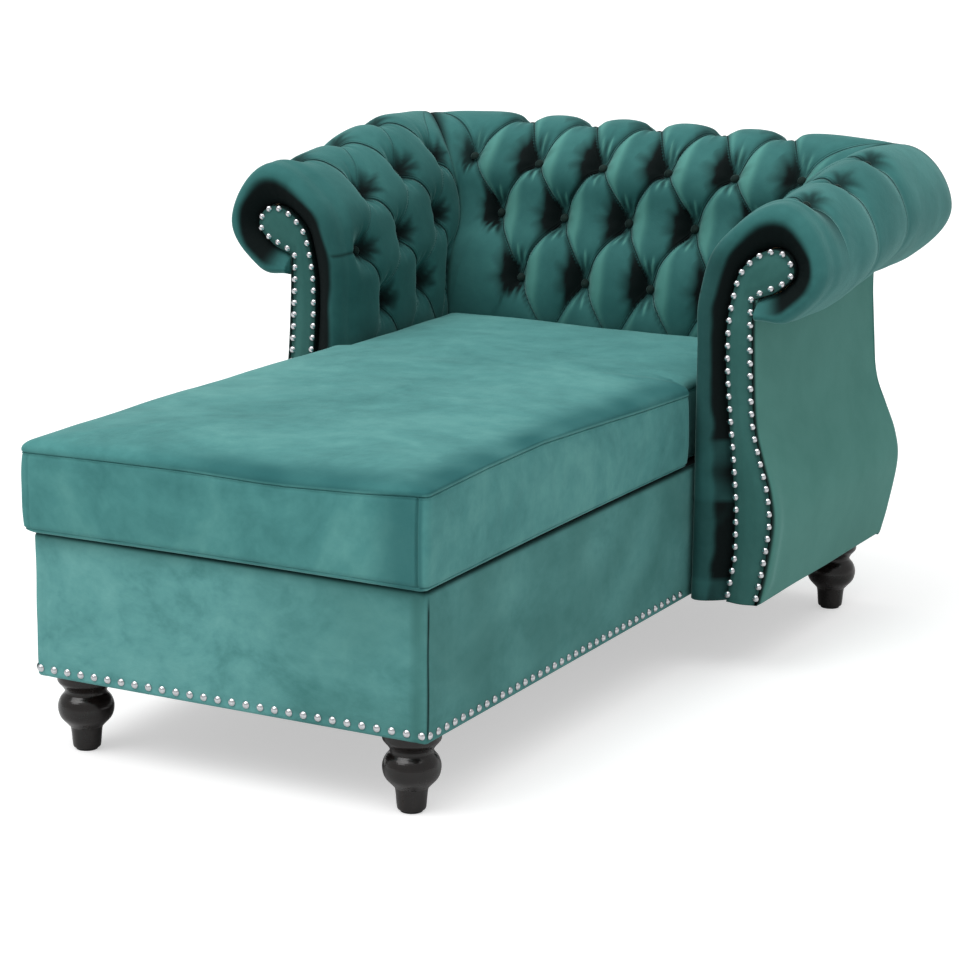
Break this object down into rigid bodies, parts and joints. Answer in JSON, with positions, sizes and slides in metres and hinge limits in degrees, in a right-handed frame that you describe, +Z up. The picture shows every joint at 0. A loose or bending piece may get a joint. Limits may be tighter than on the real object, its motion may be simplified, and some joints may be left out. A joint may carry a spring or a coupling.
{
  "type": "fainting couch",
  "caption": "velvet chaise with a diamond buttoned back and scroll arms, a loose seat cushion, nail trim and turned feet",
  "frame": {"origin": "on the floor, under the middle of the couch", "axes": "+X to the right of someone who faces the back, +Y from the open end towards the back, +Z up"},
  "size_m": [0.9664, 1.3484, 0.7119],
  "materials": {
    "dark_wood": "turned, near black stain under gloss lacquer",
    "glide": "hard black plastic",
    "bright_nails": "bright nickel",
    "zinc_steel": "zinc plated",
    "button_velvet": "velvet pulled over a button, pile worn flat",
    "jute": "woven jute",
    "foam": "cream open cell foam",
    "wadding": "white felted wadding",
    "lining": "thin black woven lining",
    "cushion_velvet": "teal velvet, pile lying in patches",
    "base_velvet": "teal velvet, pile brushed in patches",
    "tufted_velvet": "teal velvet, deep pleats",
    "panel_velvet": "teal velvet, pulled smooth",
    "timber": "sawn pale hardwood"
  },
  "bodies": {
    "couch": {"leg_front_left": "dark_wood", "leg_front_right": "dark_wood", "leg_rear_left": "dark_wood", "leg_rear_right": "dark_wood", "leg_glides": "glide", "leg_plates": "zinc_steel", "hanger_bolts": "zinc_steel", "front_rail": "timber", "rear_rail": "timber", "side_rail_left": "timber", "side_rail_right": "timber", "cross_rails": "timber", "corner_blocks": "timber", "seat_webbing": "jute", "deck_pad": "wadding", "deck_cloth": "lining", "base_cover": "base_velvet", "base_nails": "bright_nails", "dust_cover": "lining", "left_scroll_board": "timber", "left_arm_post": "timber", "left_liner_rail": "timber", "left_top_rail": "timber", "left_bottom_rail": "timber", "left_roll_rail": "timber", "left_arm_webbing": "jute", "left_arm_foam": "foam", "left_arm_cover": "tufted_velvet", "left_outer_panel": "panel_velvet", "left_facing": "panel_velvet", "left_facing_nails": "bright_nails", "left_arm_buttons": "button_velvet", "right_scroll_board": "timber", "right_arm_post": "timber", "right_liner_rail": "timber", "right_top_rail": "timber", "right_bottom_rail": "timber", "right_roll_rail": "timber", "right_arm_webbing": "jute", "right_arm_foam": "foam", "right_arm_cover": "tufted_velvet", "right_outer_panel": "panel_velvet", "right_facing": "panel_velvet", "right_facing_nails": "bright_nails", "right_arm_buttons": "button_velvet", "back_post_left": "timber", "back_post_right": "timber", "back_lower_rail": "timber", "back_top_rail": "timber", "back_roll_rail": "timber", "back_webbing": "jute", "back_foam": "foam", "back_cover": "tufted_velvet", "back_outer_panel": "panel_velvet", "back_buttons": "button_velvet", "arm_bolts": "zinc_steel", "back_bolts": "zinc_steel"},
    "seat_cushion": {"cushion_foam": "foam", "cushion_cover": "cushion_velvet"}
  },
  "joints": [
    {"name": "cushion_lift", "type": "slide", "parent": "couch", "child": "seat_cushion", "axis": [0, 0, 1], "range_m": [0, 0.45]}
  ]
}
